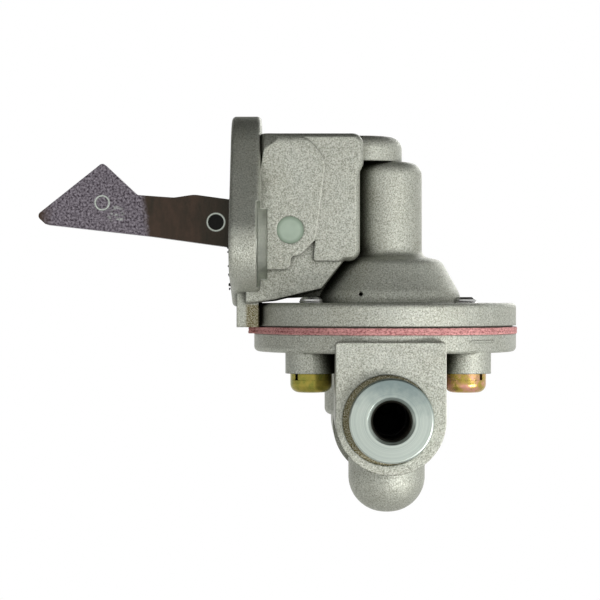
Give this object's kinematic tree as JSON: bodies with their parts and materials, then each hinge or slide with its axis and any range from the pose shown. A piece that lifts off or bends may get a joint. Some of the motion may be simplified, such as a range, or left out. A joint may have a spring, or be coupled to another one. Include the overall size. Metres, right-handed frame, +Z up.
{
  "type": "fuel feed pump",
  "caption": "Lever-operated diaphragm fuel feed pump with a two-bolt flange, cam rocker arm, cast body, screwed diaphragm rim and two threaded fuel ports.",
  "frame": {"origin": "on the mounting face, midway between the two bolt holes", "axes": "+X away from the engine, +Z up, -Y the near side with the inlet port"},
  "size_m": [0.1097, 0.0698, 0.0897],
  "materials": {
    "cast_aluminium": "matt blasted die casting, faintly warm grey",
    "diaphragm_fabric": "red rubbered fabric, cut edge",
    "phosphated_steel": "dull heat-treated steel, brown to purple grey",
    "bright_steel": "turned steel",
    "zinc_steel": "turned and zinc plated",
    "plug_metal": "smooth pressed plug",
    "yellow_zinc": "yellow passivated zinc on steel, iridescent",
    "spring_steel": "drawn spring wire",
    "seal_rubber": "black moulded rubber",
    "valve_brass": "plain brass",
    "valve_plastic": "dark hard plastic disc"
  },
  "bodies": {
    "housing": {"upper_body": "cast_aluminium", "lower_body": "cast_aluminium", "diaphragm_sheet_upper": "diaphragm_fabric", "diaphragm_sheet_lower": "diaphragm_fabric", "oil_seal": "seal_rubber", "seal_retainer": "bright_steel", "diaphragm_spring": "spring_steel", "pivot_pin": "bright_steel", "pin_plug_near": "plug_metal", "pin_plug_far": "plug_metal", "arm_return_spring": "spring_steel", "inlet_adaptor": "zinc_steel", "outlet_adaptor": "zinc_steel", "inlet_valve_seat": "valve_brass", "inlet_valve_cage": "valve_brass", "inlet_valve_spring": "spring_steel", "outlet_valve_seat": "valve_brass", "outlet_valve_cage": "valve_brass", "outlet_valve_spring": "spring_steel", "flange_screw_1": "yellow_zinc", "flange_screw_2": "yellow_zinc", "flange_screw_3": "yellow_zinc", "flange_screw_4": "yellow_zinc", "spring_washer_1": "yellow_zinc", "spring_washer_2": "yellow_zinc", "spring_washer_3": "yellow_zinc", "spring_washer_4": "yellow_zinc"},
    "arm": {"rocker_arm": "phosphated_steel"},
    "link": {"link_lever": "phosphated_steel"},
    "rod": {"pull_rod": "bright_steel", "diaphragm_plate_upper": "bright_steel", "diaphragm_plate_lower": "bright_steel"},
    "inlet_disc": {"inlet_valve_disc": "valve_plastic"},
    "outlet_disc": {"outlet_valve_disc": "valve_plastic"}
  },
  "joints": [
    {"name": "arm_swing", "type": "hinge", "parent": "housing", "child": "arm", "pos_m": [0.0133, 0, 0.0036], "axis": [0, -1, 0], "range_deg": [0, 12], "stiffness_Nm_per_rad": 0.4, "springref_deg": -17.19, "deforming": ["arm_return_spring"]},
    {"name": "link_swing", "type": "hinge", "parent": "housing", "child": "link", "pos_m": [0.0133, 0, 0.0036], "axis": [0, -1, 0], "range_deg": [0, 12.5]},
    {"name": "rod_lift", "type": "slide", "parent": "housing", "child": "rod", "axis": [0, 0, 1], "range_m": [0, 0.00454], "deforming": ["diaphragm_spring", "diaphragm_sheet_upper", "diaphragm_sheet_lower"]},
    {"name": "inlet_disc_lift", "type": "slide", "parent": "housing", "child": "inlet_disc", "axis": [0, 0, 1], "range_m": [0, 0.0012], "stiffness_N_per_m": 60, "springref_m": -0.001, "deforming": ["inlet_valve_spring"]},
    {"name": "outlet_disc_drop", "type": "slide", "parent": "housing", "child": "outlet_disc", "axis": [0, 0, -1], "range_m": [0, 0.0012], "stiffness_N_per_m": 60, "springref_m": -0.001, "deforming": ["outlet_valve_spring"]}
  ],
  "couplings": [
    {"joint": "arm_swing", "follows": "rod_lift", "rad_per_m": 46.083},
    {"joint": "link_swing", "follows": "rod_lift", "rad_per_m": 46.083}
  ]
}
